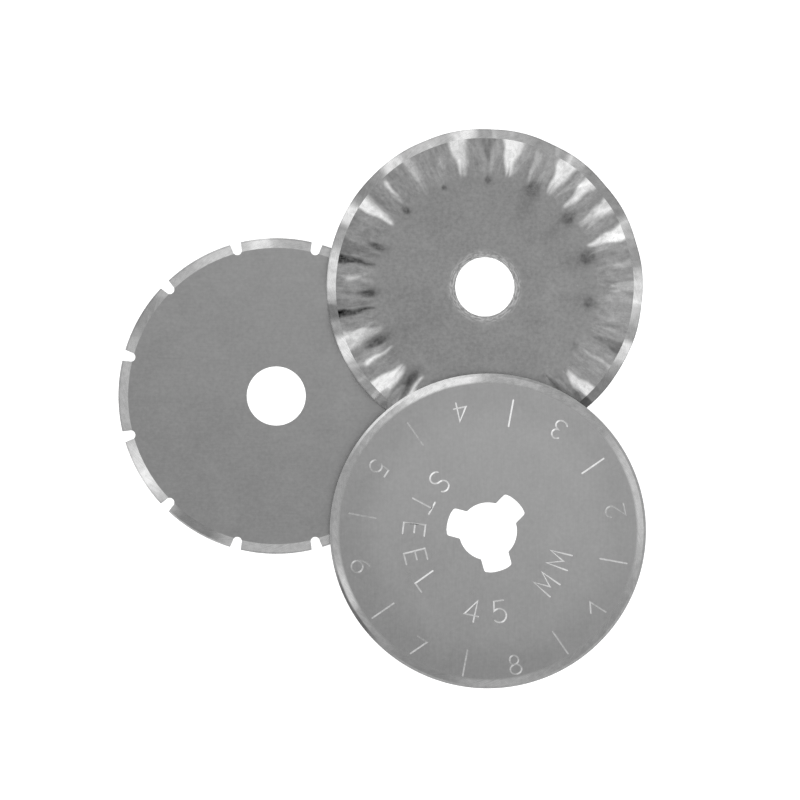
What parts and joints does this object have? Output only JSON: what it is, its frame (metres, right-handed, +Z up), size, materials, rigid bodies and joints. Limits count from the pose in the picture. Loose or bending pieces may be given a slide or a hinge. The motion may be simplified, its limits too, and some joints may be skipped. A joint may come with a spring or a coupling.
{
  "type": "rotary cutter blade set",
  "caption": "Loose round cutter blades lying overlapped: a slotted perforating blade, a fluted wave blade and a straight blade with a lobed axle hole and index ticks.",
  "frame": {"origin": "on the surface that the blades lie on, under the middle of the whole set's box", "axes": "+Z up, +Y along the longer side of the set, from the straight blade towards the wave blade, +X from the perforating blade towards the other two"},
  "size_m": [0.0752, 0.0797, 0.0035],
  "materials": {
    "perforating_steel": "satin rolled steel with a fine grain along X, and a bright ground bevel at the rim",
    "wave_steel": "satin web with faint smudges, polished flutes and a bright ground bevel",
    "straight_steel": "fine satin with shallow engraved scale, and a two-step ground edge"
  },
  "bodies": {
    "perforating_blade": {"perforating_blade": "perforating_steel"},
    "wave_blade": {"wave_blade": "wave_steel"},
    "straight_blade": {"straight_blade": "straight_steel"}
  },
  "joints": [
    {"name": "wave_blade_lift", "type": "slide", "parent": "perforating_blade", "child": "wave_blade", "axis": [0, 0, 1], "range_m": [0, 0.03]},
    {"name": "straight_blade_lift", "type": "slide", "parent": "wave_blade", "child": "straight_blade", "axis": [0, 0, 1], "range_m": [0, 0.03]}
  ]
}
